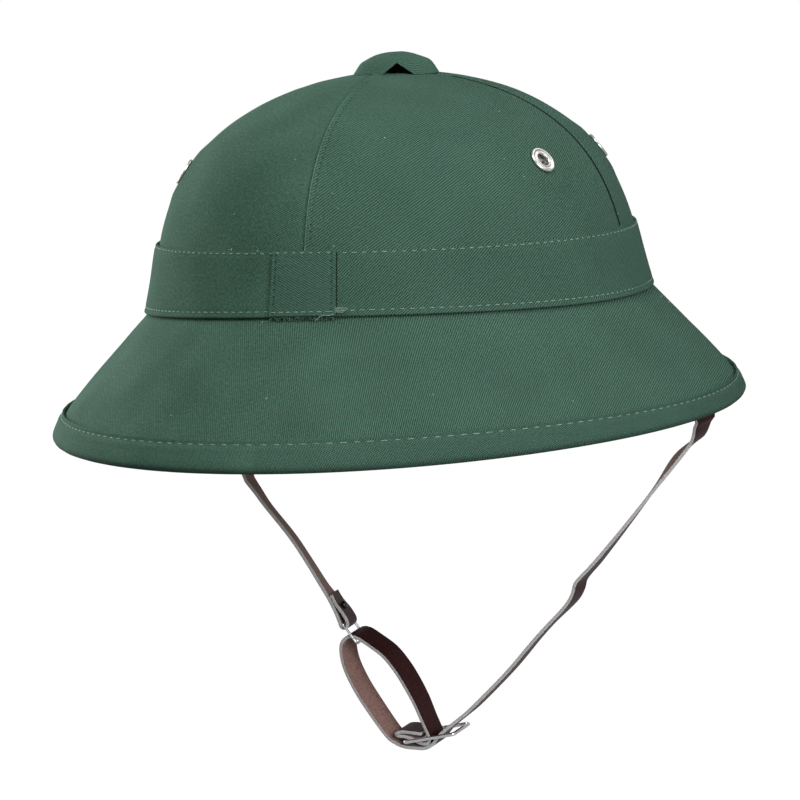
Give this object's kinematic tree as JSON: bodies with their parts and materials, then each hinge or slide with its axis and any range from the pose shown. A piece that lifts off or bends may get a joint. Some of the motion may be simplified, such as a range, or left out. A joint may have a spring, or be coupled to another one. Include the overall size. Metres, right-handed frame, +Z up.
{
  "type": "pith helmet with a chin strap",
  "caption": "Cloth-covered sun helmet with a domed crown, sloping brim, vent cap and stitched band, held on a head by a leather chin strap with a slide and a ring.",
  "frame": {"origin": "Centre of the head opening, on the crown's middle line, level with the crown's base at its two sides, where the helmet sits on a head.", "axes": "+Z up along the crown's middle line, +Y toward the far end of the helmet with -Y toward the longer end of the brim, +X across it. The helmet is longest along Y."},
  "size_m": [0.275, 0.3296, 0.2923],
  "materials": {
    "cloth": "dull green cotton twill, pale stitching at the seams, band and hem",
    "shell": "bare pressed plant fibre, matt and slightly rough",
    "nickel": "bright nickel-plated brass, rolled over the cloth",
    "strap": "glossy dark maroon outside, dull pinkish brown suede inside, pale cut edges",
    "wire": "bright drawn steel wire and steel rivets"
  },
  "bodies": {
    "root": {"helmet_shell": "shell", "crown_gore_front_right": "cloth", "crown_gore_back_right": "cloth", "crown_gore_back_left": "cloth", "crown_gore_front_left": "cloth", "brim_cover": "cloth", "hat_band": "cloth", "band_overlap": "cloth", "rim_binding": "cloth", "vent_cap": "cloth", "eyelet_front_right": "nickel", "eyelet_back_right": "nickel", "eyelet_back_left": "nickel", "eyelet_front_left": "nickel", "chin_strap_long": "strap", "chin_strap_short": "strap", "strap_slide": "wire", "strap_ring": "wire", "strap_rivet": "wire", "strap_stud_right": "wire", "strap_stud_left": "wire"}
  },
  "joints": []
}
